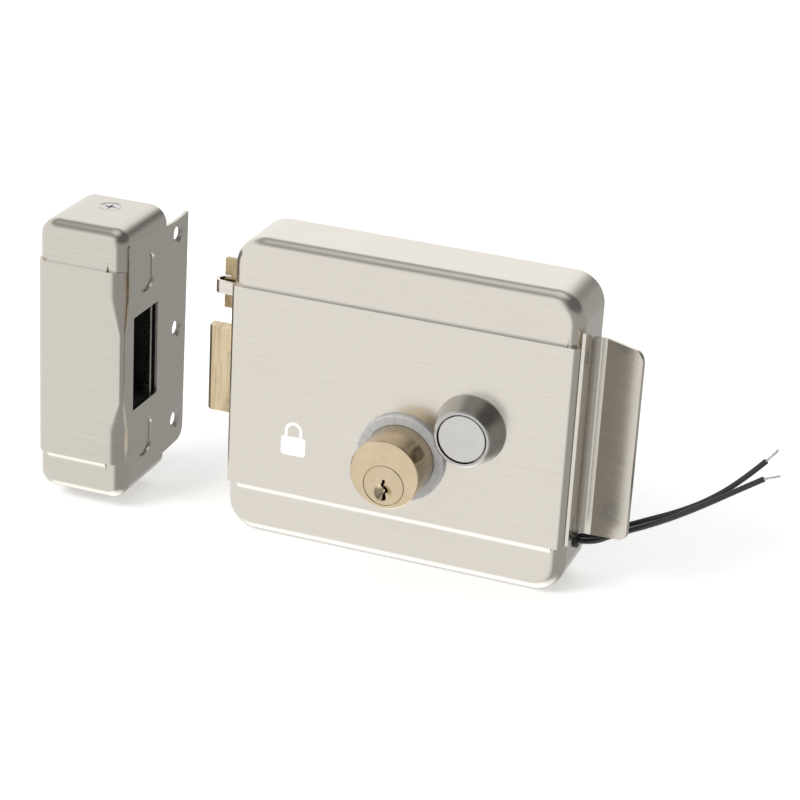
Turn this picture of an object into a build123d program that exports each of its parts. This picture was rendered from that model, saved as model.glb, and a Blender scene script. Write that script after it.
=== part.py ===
from build123d import *
import math
import os

# An electric rim lock and its strike box, drawn closed-bolt, side by side.
# X runs along the door, +Y into the door, +Z up. The origin is the centre of the
# lock's back face. "Depth" below means the distance in front of that face (-Y).

os.makedirs("parts", exist_ok=True)

# ---------------------------------------------------------------- driving sizes
SHEET = 1.2
GAP = 0.3
RUN = 0.05

CASE_W = 126.0
CASE_H = 110.8
CASE_CORNER = 11.0
BAND_DEPTH = 25.4
PANEL_DEPTH = 26.8
PANEL_TOP = 37.5
PANEL_BOTTOM = -36.7
COVE = 3.5
BAND_EDGE = 4.6
PANEL_EDGE = 2.5
CASE_SIDE = CASE_W / 2

PLATE_T = 2.0
DOOR_SCREW_X = 104.0
DOOR_SCREW_Z = 88.0
DOOR_SCREW_R = 2.6
TAIL_HOLE_R = 8.0
OUTSIDE_SCREW_SPAN = 44.0
OUTSIDE_SCREW_R = 2.8

KEY_X = 2.9
BODY_Z = -13.7
PLUG_Z = -17.7
BODY_R = 12.5
PLUG_R = 7.25
CYL_FACE = 43.7
CYL_BACK = 16.0
RING_R = 15.95
RING_T = 2.0
PIN_R = 1.4
PIN_COUNT = 5
PIN_PITCH = 4.0
PIN_FIRST = 38.0

BUTTON_X = 27.2
BUTTON_Z = 1.6
COLLAR_BASE_R = 12.65
COLLAR_LIP_R = 10.2
COLLAR_BORE_R = 8.9
CAP_R = 8.4
BUTTON_FACE = 36.4

BOLT_TRAVEL = 12.0
BOLT_TIP = -75.1
BOLT_END = -48.0
BOLT_NEAR = 12.0
BOLT_FAR = 17.0
BOLT_LOW = -15.0
BOLT_HIGH = 17.0
CARRIAGE_NEAR = 10.0
CARRIAGE_FAR = 12.0
POST_Z = 7.5
POST_X = (-30.0, -6.0)
POST_R = 2.5

CAM_R = 12.0
CAM_SWING = 60.0
CAM_PIN_R = 2.0

TRIGGER_TRAVEL = 5.0
TRIGGER_TIP = -69.7
TRIGGER_END = -44.0
TRIGGER_NEAR = 14.0
TRIGGER_FAR = 16.0
TRIGGER_LOW = 24.6
TRIGGER_HIGH = 42.8
LOOP_Z = 32.5
LOOP_H = 4.7
LOOP_R = 3.5
LOOP_T = 1.0
TRIGGER_POST_X = -49.5
TRIGGER_POST_Z = 30.0

COIL_Z = 28.0
COIL_DEPTH = 12.5
COIL_LEFT = 22.6
COIL_RIGHT = 52.0
COIL_R = 8.5
PLUNGER_R = 3.9
LEVER_X = 14.0
LEVER_Z = 15.0
LEVER_ARM = 13.0
LEVER_NEAR = 14.8
LEVER_FAR = 16.6

HANDLE_T = 1.2
HANDLE_TOP = 37.6
HANDLE_LOW = -35.4
BLADE_RISE = 4.2
CREASE_X = 68.5
CREASE_DEPTH = 12.5
FLARE_X = 82.8
FLARE_DEPTH = 19.6
HANDLE_SCREW_DEPTH = 21.0
HANDLE_SCREW_Z = (33.1, -29.3)

EXIT_DEPTH = 9.9
EXIT_Z = -39.0
WIRE_R = 1.0
CORE_R = 0.45
GROMMET_R = 2.9

STRIKE_RIGHT = -100.0
STRIKE_LEFT = -134.5
STRIKE_H = 103.2
STRIKE_CORNER = 6.5
STRIKE_BAND = 33.0
STRIKE_PANEL = 34.2
STRIKE_TOP = 36.7
STRIKE_BOTTOM = -36.8
STRIKE_EDGE = 5.0
STRIKE_ROUND = 4.4
WIDE_EDGE = 6.4
NARROW_EDGE = 1.9
SLOT_NEAR = 6.3
SLOT_FAR = 25.8
SLOT_HALF = 17.8
FLANGE_BACK = 18.5
FLANGE_HALF = 44.4
FLANGE_HOLE_Y = 10.0
FLANGE_HOLE_Z = 1.7
FLANGE_HOLE_PITCH = 36.7
FLANGE_HOLE_R = 2.3
FLANGE_SINK_R = 3.8
DIMPLE_DEPTH = 15.6
DIMPLE_Z = 32.0
STRIKE_X = (STRIKE_RIGHT + STRIKE_LEFT) / 2
STRIKE_W = STRIKE_RIGHT - STRIKE_LEFT
TOP_SCREW_X = -117.7
TOP_SCREW_DEPTH = 9.4


# ---------------------------------------------------------------- helpers
def block(x0, x1, near, far, z0, z1, mode=Mode.ADD):
    """A box between two X, two depths in front of the door and two heights."""
    with Locations(((x0 + x1) / 2, -(near + far) / 2, (z0 + z1) / 2)):
        Box(abs(x1 - x0), abs(far - near), abs(z1 - z0), mode=mode)


def disc(x, z, radius, near, far, mode=Mode.ADD):
    """A round bar along Y between two depths in front of the door."""
    with Locations((x, -(near + far) / 2, z)):
        Cylinder(radius, abs(far - near), rotation=(90, 0, 0), mode=mode)


def bar(x0, x1, depth, z, radius, mode=Mode.ADD):
    """A round bar along X between two X positions."""
    with Locations(((x0 + x1) / 2, -depth, z)):
        Cylinder(radius, abs(x1 - x0), rotation=(0, 90, 0), mode=mode)


def post(x, depth, z0, z1, radius, mode=Mode.ADD):
    """A round bar along Z between two heights."""
    with Locations((x, -depth, (z0 + z1) / 2)):
        Cylinder(radius, abs(z1 - z0), mode=mode)


def write(builder, name):
    builder.part.label = name
    export_step(builder.part, "parts/" + name + ".step")


def pressed_case(width, height, corner, band, panel, top, bottom, edge, inset):
    """A pressed housing, solid: a rounded block with a raised panel across its middle."""
    with BuildPart() as housing:
        with BuildSketch(Plane.XZ):
            RectangleRounded(width - 2 * inset, height - 2 * inset, corner - inset)
        extrude(amount=band - inset)
        front = housing.edges().group_by(Axis.Y)[0]
        fillet(front, edge - inset)
        side = width / 2 - inset
        root = band - inset - edge
        block(-side, side, root, panel - inset, bottom + inset, top - inset)
        sides = housing.edges().filter_by(Axis.Z).group_by(Axis.Y)[0]
        fillet(sides, PANEL_EDGE - inset / 2)
    return housing.part


def spring(origin, direction, length, radius, wire, turns):
    """A compression spring whose ends stop inside the given length."""
    pitch = (length - 2 * wire) / turns
    with BuildPart() as upright:
        with BuildLine() as path:
            Helix(pitch=pitch, height=pitch * turns, radius=radius, center=(0, 0, wire))
        start = path.wires()[0]
        with BuildSketch(Plane(origin=start @ 0, z_dir=start % 0)):
            Circle(wire / 2)
        sweep(is_frenet=True)
    with BuildPart() as coil:
        with Locations(Plane(origin=origin, z_dir=direction).location):
            add(upright.part)
    return coil


# ---------------------------------------------------------------- lock case
outer = pressed_case(CASE_W, CASE_H, CASE_CORNER, BAND_DEPTH, PANEL_DEPTH,
                     PANEL_TOP, PANEL_BOTTOM, BAND_EDGE, 0)
inner = pressed_case(CASE_W, CASE_H, CASE_CORNER, BAND_DEPTH, PANEL_DEPTH,
                     PANEL_TOP, PANEL_BOTTOM, BAND_EDGE, SHEET)

with BuildPart() as front_cover:
    add(outer)
    for level, way in ((PANEL_TOP, 1), (PANEL_BOTTOM, -1)):
        with BuildSketch(Plane.YZ.offset(-CASE_SIDE + BAND_EDGE)):
            with BuildLine():
                foot = (-BAND_DEPTH, level + way * COVE)
                ridge = (-PANEL_DEPTH, level)
                TangentArc(foot, ridge, tangent=(0, -way))
                Polyline(ridge, (-BAND_DEPTH + SHEET, level), (-BAND_DEPTH + SHEET, foot[1]), foot)
            make_face()
        extrude(amount=CASE_W - 2 * BAND_EDGE)
    add(inner, mode=Mode.SUBTRACT)
    # openings in the left wall for the bolt and the trigger
    block(-CASE_SIDE - 1, -CASE_SIDE + 2, BOLT_NEAR - GAP, BOLT_FAR + GAP,
          BOLT_LOW - GAP, BOLT_HIGH + GAP, Mode.SUBTRACT)
    block(-CASE_SIDE - 1, -CASE_SIDE + 2, TRIGGER_NEAR - LOOP_R - 0.2, TRIGGER_FAR + LOOP_R - 1.2,
          TRIGGER_LOW - GAP, TRIGGER_HIGH + GAP, Mode.SUBTRACT)
    # the key cylinder, the button collar's neck, the handle screws and the lead
    disc(KEY_X, BODY_Z, BODY_R + 0.1, BAND_DEPTH, PANEL_DEPTH + 1, Mode.SUBTRACT)
    disc(BUTTON_X, BUTTON_Z, 7.1, BAND_DEPTH, PANEL_DEPTH + 1, Mode.SUBTRACT)
    for height in HANDLE_SCREW_Z:
        bar(CASE_SIDE - 2, CASE_SIDE + 1, HANDLE_SCREW_DEPTH, height, 1.7, Mode.SUBTRACT)
    bar(CASE_SIDE - 2, CASE_SIDE + 1, EXIT_DEPTH, EXIT_Z, GROMMET_R, Mode.SUBTRACT)
    # two countersunk cover screws from below
    for x in (-38.0, 38.0):
        post(x, 8.0, -CASE_H / 2 - 1, -CASE_H / 2 + 2, 1.7, Mode.SUBTRACT)
        with Locations((x, -8.0, -CASE_H / 2 + 0.5)):
            Cone(2.9, 1.9, 1.0, mode=Mode.SUBTRACT)
write(front_cover, "front_cover")

inside_w = CASE_W - 2 * SHEET - 2 * GAP
inside_h = CASE_H - 2 * SHEET - 2 * GAP

with BuildPart() as back_plate:
    with BuildSketch(Plane.XZ):
        RectangleRounded(inside_w, inside_h, CASE_CORNER - SHEET - GAP)
        with GridLocations(DOOR_SCREW_X, DOOR_SCREW_Z, 2, 2):
            Circle(DOOR_SCREW_R, mode=Mode.SUBTRACT)
        with Locations((KEY_X, PLUG_Z)):
            Circle(TAIL_HOLE_R, mode=Mode.SUBTRACT)
            with GridLocations(OUTSIDE_SCREW_SPAN, 1, 2, 1):
                Circle(OUTSIDE_SCREW_R, mode=Mode.SUBTRACT)
    extrude(amount=PLATE_T)
    # bent lugs that take the handle screws and the cover screws
    for height in HANDLE_SCREW_Z:
        block(inside_w / 2 - 2.0, inside_w / 2, 0, 23.0, height - 3, height + 3)
        bar(inside_w / 2 - 3, inside_w / 2 + 1, HANDLE_SCREW_DEPTH, height, 1.5, Mode.SUBTRACT)
    for x in (-38.0, 38.0):
        block(x - 4, x + 4, 0, 12.0, -inside_h / 2, -inside_h / 2 + 2)
        post(x, 8.0, -inside_h / 2 - 1, -inside_h / 2 + 3, 1.5, Mode.SUBTRACT)
write(back_plate, "back_plate")

with BuildPart() as cover_screws:
    for x in (-38.0, 38.0):
        with Locations((x, -8.0, -CASE_H / 2 + 0.5)):
            Cone(2.8, 1.8, 1.0)
        post(x, 8.0, -CASE_H / 2 + 0.9, -CASE_H / 2 + 6, 1.45)
        block(x - 2.2, x + 2.2, 7.7, 8.3, -CASE_H / 2, -CASE_H / 2 + 0.5, Mode.SUBTRACT)
write(cover_screws, "cover_screws")


# ---------------------------------------------------------------- pull handle
with BuildPart() as pull_handle:
    seat = CASE_SIDE
    along = Vector(FLARE_X - CREASE_X, -(FLARE_DEPTH - CREASE_DEPTH))
    flare = along.normalized()
    side = Vector(-flare.Y, flare.X)
    with BuildSketch(Plane.XY.offset(HANDLE_LOW)):
        with BuildLine():
            Polyline((seat + HANDLE_T, -25.0), (seat + HANDLE_T, -15.6))
            FilletPolyline((seat + HANDLE_T, -15.6), (seat + HANDLE_T, -CREASE_DEPTH),
                           (CREASE_X, -CREASE_DEPTH), radius=2.6)
            Polyline((CREASE_X, -CREASE_DEPTH), (FLARE_X, -FLARE_DEPTH),
                     (FLARE_X + side.X * HANDLE_T, -FLARE_DEPTH + side.Y * HANDLE_T),
                     (CREASE_X + side.X * HANDLE_T, -CREASE_DEPTH + side.Y * HANDLE_T))
            Polyline((CREASE_X + side.X * HANDLE_T, -CREASE_DEPTH + side.Y * HANDLE_T),
                     (seat + 3.5, -CREASE_DEPTH + HANDLE_T))
            TangentArc((seat + 3.5, -CREASE_DEPTH + HANDLE_T), (seat, -14.8), tangent=(-1, 0))
            Polyline((seat, -14.8), (seat, -25.0), (seat + HANDLE_T, -25.0))
        make_face()
    extrude(amount=HANDLE_TOP - HANDLE_LOW)
    # the blade's lower edge climbs towards its free end
    with BuildSketch(Plane.XZ):
        with BuildLine():
            Polyline((CREASE_X, HANDLE_LOW), (FLARE_X + HANDLE_T, HANDLE_LOW + BLADE_RISE),
                     (FLARE_X + HANDLE_T, HANDLE_LOW - 1), (CREASE_X, HANDLE_LOW - 1),
                     (CREASE_X, HANDLE_LOW))
        make_face()
    extrude(amount=CASE_W / 4, mode=Mode.SUBTRACT)
    # round the free corners of the flared blade
    blade = pull_handle.edges().filter_by(Axis.Y, reverse=True).filter_by(
        lambda edge: edge.center().X > FLARE_X - 0.5 and edge.length < 2 * HANDLE_T)
    fillet(blade, 4.0)
    # slanted tongue above the upper screw
    with BuildSketch(Plane.YZ.offset(seat)):
        with BuildLine():
            Polyline((-25.0, HANDLE_TOP - 1), (-25.0, 43.0), (-18.2, 40.2), (-16.0, HANDLE_TOP - 1),
                     (-25.0, HANDLE_TOP - 1))
        make_face()
    extrude(amount=HANDLE_T)
    for height in HANDLE_SCREW_Z:
        bar(seat - 1, seat + 3, HANDLE_SCREW_DEPTH, height, 1.8, Mode.SUBTRACT)
        with Locations((seat + HANDLE_T - 0.45, -HANDLE_SCREW_DEPTH, height)):
            Cone(2.0, 3.0, 0.9, rotation=(0, 90, 0), mode=Mode.SUBTRACT)
write(pull_handle, "pull_handle")

with BuildPart() as handle_screws:
    for height in HANDLE_SCREW_Z:
        with Locations((CASE_SIDE + HANDLE_T - 0.45, -HANDLE_SCREW_DEPTH, height)):
            Cone(1.9, 2.85, 0.9, rotation=(0, 90, 0))
        bar(CASE_SIDE - 5, CASE_SIDE + HANDLE_T - 0.6, HANDLE_SCREW_DEPTH, height, 1.45)
        block(CASE_SIDE + HANDLE_T - 0.5, CASE_SIDE + HANDLE_T + 1, HANDLE_SCREW_DEPTH - 0.35,
              HANDLE_SCREW_DEPTH + 0.35, height - 2.4, height + 2.4, Mode.SUBTRACT)
write(handle_screws, "handle_screws")


# ---------------------------------------------------------------- key cylinder
GROOVE_R = BODY_R - 0.6
PLUG_BREAK = 0.16
GROOVE_NEAR = 22.6
GROOVE_FAR = 24.2
pin_depths = [PIN_FIRST - PIN_PITCH * i for i in range(PIN_COUNT)]
shear = PLUG_Z + PLUG_R

with BuildPart() as cylinder_body:
    disc(KEY_X, BODY_Z, BODY_R, CYL_BACK, CYL_FACE)
    chamfer(cylinder_body.edges().group_by(Axis.Y)[0], 0.35)
    # clip groove behind the cover
    disc(KEY_X, BODY_Z, BODY_R + 1, GROOVE_NEAR, GROOVE_FAR, Mode.SUBTRACT)
    disc(KEY_X, BODY_Z, GROOVE_R, GROOVE_NEAR, GROOVE_FAR)
    disc(KEY_X, PLUG_Z, PLUG_R + RUN, CYL_BACK - 1, CYL_FACE + 1, Mode.SUBTRACT)
    chamfer(cylinder_body.edges().group_by(Axis.Y)[0].sort_by(SortBy.RADIUS)[0], PLUG_BREAK)
    for depth in pin_depths:
        post(KEY_X, depth, PLUG_Z, BODY_Z + BODY_R - 1.0, PIN_R + RUN, Mode.SUBTRACT)
write(cylinder_body, "cylinder_body")

with BuildPart() as cylinder_ring:
    disc(KEY_X, BODY_Z, RING_R, PANEL_DEPTH, PANEL_DEPTH + RING_T)
    fillet(cylinder_ring.edges().group_by(Axis.Y)[0], 0.6)
    disc(KEY_X, BODY_Z, BODY_R + 0.1, PANEL_DEPTH - 1, PANEL_DEPTH + RING_T + 1, Mode.SUBTRACT)
write(cylinder_ring, "cylinder_ring")

with BuildPart() as cylinder_clip:
    disc(KEY_X, BODY_Z, BODY_R + 3.5, 22.75, 24.05)
    disc(KEY_X, BODY_Z, GROOVE_R + 0.1, GROOVE_NEAR - 1, GROOVE_FAR + 1, Mode.SUBTRACT)
    block(KEY_X - GROOVE_R - 0.1, KEY_X + GROOVE_R + 0.1, GROOVE_NEAR - 1, GROOVE_FAR + 1,
          BODY_Z - 2 * BODY_R, BODY_Z, Mode.SUBTRACT)
write(cylinder_clip, "cylinder_clip")

with BuildPart() as cylinder_plug:
    disc(KEY_X, PLUG_Z, PLUG_R, CYL_BACK - 0.3, CYL_FACE)
    chamfer(cylinder_plug.edges().group_by(Axis.Y)[0], PLUG_BREAK)
    for depth in pin_depths:
        post(KEY_X, depth, PLUG_Z - 1.0, PLUG_Z + PLUG_R + 1, PIN_R + RUN, Mode.SUBTRACT)
    # warded keyway: a crooked slot the length of the plug
    with BuildSketch(Plane.XZ.offset(CYL_BACK + 3)):
        with BuildLine():
            Polyline((KEY_X - 0.6, PLUG_Z + 2.2), (KEY_X + 0.5, PLUG_Z + 2.2), (KEY_X + 0.5, PLUG_Z + 1.0),
                     (KEY_X - 0.1, PLUG_Z + 0.2), (KEY_X + 1.3, PLUG_Z - 1.6), (KEY_X + 1.3, PLUG_Z - 2.9),
                     (KEY_X + 0.2, PLUG_Z - 3.4), (KEY_X + 0.9, PLUG_Z - 4.6), (KEY_X + 0.9, PLUG_Z - 5.4),
                     (KEY_X - 0.5, PLUG_Z - 5.8), (KEY_X - 0.5, PLUG_Z - 4.0), (KEY_X + 0.1, PLUG_Z - 2.4),
                     (KEY_X - 0.9, PLUG_Z - 0.6), (KEY_X - 1.1, PLUG_Z + 0.4), (KEY_X - 0.6, PLUG_Z + 1.0),
                     (KEY_X - 0.6, PLUG_Z + 2.2))
        make_face()
    extrude(amount=CYL_FACE - CYL_BACK, mode=Mode.SUBTRACT)
    # dished lead-in round the lower half of the keyway
    with Locations((KEY_X, -CYL_FACE + 0.9, PLUG_Z - 2.7)):
        Cone(0.6, 3.3, 1.8, rotation=(90, 0, 0), mode=Mode.SUBTRACT)
write(cylinder_plug, "cylinder_plug")

with BuildPart() as key_pins:
    for depth in pin_depths:
        post(KEY_X, depth, PLUG_Z + 2.4, shear - 0.15, PIN_R)
write(key_pins, "key_pins")

with BuildPart() as driver_pins:
    for depth in pin_depths:
        post(KEY_X, depth, shear + 0.15, shear + 3.6, PIN_R)
write(driver_pins, "driver_pins")

with BuildPart() as pin_springs:
    for depth in pin_depths:
        for turn in range(3):
            with Locations((KEY_X, -depth, shear + 4.2 + turn * 1.1)):
                Torus(PIN_R - 0.35, 0.25)
write(pin_springs, "pin_springs")

tail_angle = math.radians(CAM_SWING / 2)
with BuildPart() as cam:
    disc(KEY_X, PLUG_Z, 6.2, 12.9, CYL_BACK - 0.3)
    disc(KEY_X, PLUG_Z, 4.6, 5.0, 13.0)
    with BuildSketch(Plane.XZ.offset(12.9)):
        with Locations(Location((KEY_X, PLUG_Z), CAM_SWING / 2)):
            with Locations((0, CAM_R / 2)):
                Rectangle(7.0, CAM_R)
            with Locations((0, CAM_R)):
                Circle(3.5)
    extrude(amount=1.8)
    pin_x = KEY_X - CAM_R * math.sin(tail_angle)
    pin_z = PLUG_Z + CAM_R * math.cos(tail_angle)
    disc(pin_x, pin_z, CAM_PIN_R, 9.0, 13.0)
    # cross slot for the flat tail of the outside cylinder
    block(KEY_X - 4.1, KEY_X + 4.1, 4.0, 11.0, PLUG_Z - 1.1, PLUG_Z + 1.1, Mode.SUBTRACT)
write(cam, "cam")


# ---------------------------------------------------------------- exit button
with BuildPart() as button_collar:
    with BuildSketch(Plane.XY.offset(BUTTON_Z)):
        with BuildLine():
            Polyline((BUTTON_X + COLLAR_BORE_R, -PANEL_DEPTH - 2.0), (BUTTON_X + 5.2, -PANEL_DEPTH - 2.0),
                     (BUTTON_X + 5.2, -20.0), (BUTTON_X + 7.0, -20.0),
                     (BUTTON_X + 7.0, -PANEL_DEPTH), (BUTTON_X + COLLAR_BASE_R, -PANEL_DEPTH),
                     (BUTTON_X + COLLAR_BASE_R, -PANEL_DEPTH - 0.5),
                     (BUTTON_X + COLLAR_LIP_R, -BUTTON_FACE + 0.4),
                     (BUTTON_X + COLLAR_LIP_R - 0.5, -BUTTON_FACE),
                     (BUTTON_X + COLLAR_BORE_R, -BUTTON_FACE),
                     (BUTTON_X + COLLAR_BORE_R, -PANEL_DEPTH - 2.0))
        make_face()
    revolve(axis=Axis((BUTTON_X, 0, BUTTON_Z), (0, 1, 0)))
write(button_collar, "button_collar")

with BuildPart() as collar_nut:
    with BuildSketch(Plane.XZ.offset(22.4)):
        with Locations((BUTTON_X, BUTTON_Z)):
            RegularPolygon(9.6, 6)
            Circle(7.05, mode=Mode.SUBTRACT)
    extrude(amount=3.1)
write(collar_nut, "collar_nut")

with BuildPart() as button_cap:
    disc(BUTTON_X, BUTTON_Z, CAP_R, 33.6, BUTTON_FACE - 0.2)
    fillet(button_cap.edges().group_by(Axis.Y)[0], 0.3)
    disc(BUTTON_X, BUTTON_Z, 4.8, 20.1, 34.0)
    # wedge that swings the release lever aside
    with Locations((BUTTON_X, -18.2, BUTTON_Z)):
        Cone(0.6, 4.8, 3.8, rotation=(90, 0, 0))
write(button_cap, "button_cap")

button_spring = spring((BUTTON_X, -PANEL_DEPTH - 2.1, BUTTON_Z), (0, -1, 0), 4.6, 6.4, 0.7, 2.5)
write(button_spring, "button_spring")


# ---------------------------------------------------------------- latch bolt
with BuildPart() as latch_bolt:
    block(BOLT_TIP, BOLT_END, BOLT_NEAR, BOLT_FAR, BOLT_LOW, BOLT_HIGH)
    tip = latch_bolt.edges().filter_by(Axis.Z).group_by(Axis.X)[0].group_by(Axis.Y)[0]
    chamfer(tip, 1.4)
    for height in (BOLT_LOW + 8, BOLT_HIGH - 8):
        disc(-54.0, height, 2.0, BOLT_NEAR - 1, BOLT_FAR + 1, Mode.SUBTRACT)
write(latch_bolt, "latch_bolt")

with BuildPart() as bolt_rivets:
    for height in (BOLT_LOW + 8, BOLT_HIGH - 8):
        disc(-54.0, height, 2.0, CARRIAGE_NEAR, BOLT_FAR)
        disc(-54.0, height, 3.0, BOLT_FAR, BOLT_FAR + 0.6)
write(bolt_rivets, "bolt_rivets")

with BuildPart() as bolt_carriage:
    block(-60.0, -47.0, CARRIAGE_NEAR, CARRIAGE_FAR, PLUG_Z + 5.4, 16.0)
    block(-47.0, 8.0, CARRIAGE_NEAR, CARRIAGE_FAR, PLUG_Z + 5.4, 11.6)
    slot_long = BOLT_TRAVEL + 2 * (POST_R + 0.2)
    for x in POST_X:
        with BuildSketch(Plane.XZ.offset(CARRIAGE_NEAR - 1)):
            with Locations((x - BOLT_TRAVEL / 2, POST_Z)):
                SlotOverall(slot_long, 2 * (POST_R + 0.15))
        extrude(amount=4, mode=Mode.SUBTRACT)
    # upright slot driven by the cam's pin
    with BuildSketch(Plane.XZ.offset(CARRIAGE_NEAR - 1)):
        with Locations((pin_x, (pin_z + PLUG_Z + CAM_R) / 2)):
            Rectangle(2 * CAM_PIN_R + 1.0, CAM_R - CAM_R * math.cos(tail_angle) + 2 * CAM_PIN_R + 0.8)
    extrude(amount=4, mode=Mode.SUBTRACT)
    for height in (BOLT_LOW + 8, BOLT_HIGH - 8):
        disc(-54.0, height, 2.0, CARRIAGE_NEAR - 1, CARRIAGE_FAR + 1, Mode.SUBTRACT)
    # bent tab that the bolt spring pushes on
    block(6.5, 8.0, 3.0, CARRIAGE_NEAR, 4.0, 11.6)
write(bolt_carriage, "bolt_carriage")

with BuildPart() as guide_posts:
    for x in POST_X:
        disc(x, POST_Z, 4.0, PLATE_T, CARRIAGE_NEAR - GAP)
        disc(x, POST_Z, POST_R, CARRIAGE_NEAR - GAP, CARRIAGE_FAR + GAP)
        disc(x, POST_Z, 4.0, CARRIAGE_FAR + GAP, CARRIAGE_FAR + GAP + 1.1)
write(guide_posts, "guide_posts")

with BuildPart() as spring_stop:
    block(29.0, 30.5, PLATE_T, 10.5, 3.5, 13.5)
    block(30.5, 38.0, PLATE_T, PLATE_T + 1.5, 3.5, 13.5)
    bar(24.0, 29.0, 6.3, 8.0, 2.2)
write(spring_stop, "spring_stop")

bolt_spring = spring((8.1, -6.3, 8.0), (1, 0, 0), 20.8, 3.0, 0.7, 8)
write(bolt_spring, "bolt_spring")


# ---------------------------------------------------------------- trigger
with BuildPart() as trigger_plate:
    block(TRIGGER_TIP, TRIGGER_END, TRIGGER_NEAR, TRIGGER_FAR, TRIGGER_LOW, TRIGGER_HIGH)
    with BuildSketch(Plane.XZ.offset(TRIGGER_NEAR - 1)):
        with Locations((TRIGGER_POST_X - TRIGGER_TRAVEL / 2, TRIGGER_POST_Z)):
            SlotOverall(TRIGGER_TRAVEL + 2 * 1.8, 2 * 1.7)
    extrude(amount=4, mode=Mode.SUBTRACT)
    # window that the loop's waist passes
    block(TRIGGER_TIP - 1, TRIGGER_TIP + 2.2, TRIGGER_NEAR - 1, TRIGGER_FAR + 1,
          LOOP_Z + 2.9, LOOP_Z + 4.1, Mode.SUBTRACT)
    block(TRIGGER_END - 1.5, TRIGGER_END, 6.0, TRIGGER_NEAR, 34.0, 42.0)
write(trigger_plate, "trigger_plate")

with BuildPart() as trigger_loop:
    leg_far = TRIGGER_FAR + LOOP_R - 1.5
    leg_near = TRIGGER_NEAR - LOOP_R + 1.5
    middle = (leg_far + leg_near) / 2
    bow = (leg_far - leg_near) / 2
    bow_x = TRIGGER_TIP - 0.4
    with BuildSketch(Plane.XY.offset(LOOP_Z - LOOP_H / 2)):
        with BuildLine():
            Line((-58.0, -leg_far), (bow_x, -leg_far))
            ThreePointArc((bow_x, -leg_far), (bow_x - bow, -middle), (bow_x, -leg_near))
            Line((bow_x, -leg_near), (-58.0, -leg_near))
            Line((-58.0, -leg_near), (-58.0, -leg_near - LOOP_T))
            Line((-58.0, -leg_near - LOOP_T), (bow_x, -leg_near - LOOP_T))
            ThreePointArc((bow_x, -leg_near - LOOP_T), (bow_x - bow + LOOP_T, -middle),
                          (bow_x, -leg_far + LOOP_T))
            Line((bow_x, -leg_far + LOOP_T), (-58.0, -leg_far + LOOP_T))
            Line((-58.0, -leg_far + LOOP_T), (-58.0, -leg_far))
        make_face()
    extrude(amount=LOOP_H)
    bar_x = -60.0
    disc(bar_x, LOOP_Z, 1.2, leg_near - 1, leg_far + 1, Mode.SUBTRACT)
write(trigger_loop, "trigger_loop")

with BuildPart() as trigger_rivet:
    disc(bar_x, LOOP_Z, 1.2, leg_near, TRIGGER_NEAR)
    disc(bar_x, LOOP_Z, 1.2, TRIGGER_FAR, leg_far)
write(trigger_rivet, "trigger_rivet")

with BuildPart() as trigger_post:
    disc(TRIGGER_POST_X, TRIGGER_POST_Z, 3.0, PLATE_T, TRIGGER_NEAR - GAP)
    disc(TRIGGER_POST_X, TRIGGER_POST_Z, 1.5, TRIGGER_NEAR - GAP, TRIGGER_FAR + GAP)
    disc(TRIGGER_POST_X, TRIGGER_POST_Z, 3.0, TRIGGER_FAR + GAP, TRIGGER_FAR + GAP + 0.9)
write(trigger_post, "trigger_post")

with BuildPart() as trigger_stop:
    block(-30.0, -28.5, PLATE_T, 13.0, 34.0, 42.0)
    block(-28.5, -22.0, PLATE_T, PLATE_T + 1.5, 34.0, 42.0)
    bar(-33.0, -30.0, 10.0, 38.0, 1.8)
write(trigger_stop, "trigger_stop")

trigger_spring = spring((TRIGGER_END + 0.1, -10.0, 38.0), (1, 0, 0), 13.8, 2.5, 0.6, 6)
write(trigger_spring, "trigger_spring")


# ---------------------------------------------------------------- solenoid and release
with BuildPart() as yoke:
    block(COIL_LEFT - 3.5, COIL_RIGHT + 3.5, 2.0, 3.8, COIL_Z - 9, COIL_Z + 9)
    block(COIL_LEFT - 3.5, COIL_LEFT - 1.7, 3.8, 22.0, COIL_Z - 9, COIL_Z + 9)
    block(COIL_RIGHT + 1.7, COIL_RIGHT + 3.5, 3.8, 22.0, COIL_Z - 9, COIL_Z + 9)
    bar(COIL_LEFT - 4, COIL_LEFT - 1, COIL_DEPTH, COIL_Z, PLUNGER_R + 0.2, Mode.SUBTRACT)
write(yoke, "solenoid_yoke")

with BuildPart() as bobbin:
    bar(COIL_LEFT - 1.6, COIL_RIGHT + 1.6, COIL_DEPTH, COIL_Z, 5.2)
    bar(COIL_LEFT - 1.6, COIL_LEFT, COIL_DEPTH, COIL_Z, COIL_R + 0.1)
    bar(COIL_RIGHT, COIL_RIGHT + 1.6, COIL_DEPTH, COIL_Z, COIL_R + 0.1)
    bar(COIL_LEFT - 2, COIL_RIGHT + 2, COIL_DEPTH, COIL_Z, PLUNGER_R + 0.15, Mode.SUBTRACT)
write(bobbin, "coil_bobbin")

with BuildPart() as coil:
    bar(COIL_LEFT + 0.05, COIL_RIGHT - 0.05, COIL_DEPTH, COIL_Z, COIL_R - 0.2)
    bar(COIL_LEFT - 1, COIL_RIGHT + 1, COIL_DEPTH, COIL_Z, 5.25, Mode.SUBTRACT)
write(coil, "coil_winding")

groove_x = LEVER_X - LEVER_ARM * math.sin(math.radians(11.1))
with BuildPart() as plunger:
    bar(groove_x - 4.0, 42.0, COIL_DEPTH, COIL_Z, PLUNGER_R)
    bar(groove_x - 2.5, groove_x + 2.5, COIL_DEPTH, COIL_Z, PLUNGER_R + 1, Mode.SUBTRACT)
    bar(groove_x - 2.5, groove_x + 2.5, COIL_DEPTH, COIL_Z, 1.9)
write(plunger, "plunger")

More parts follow.
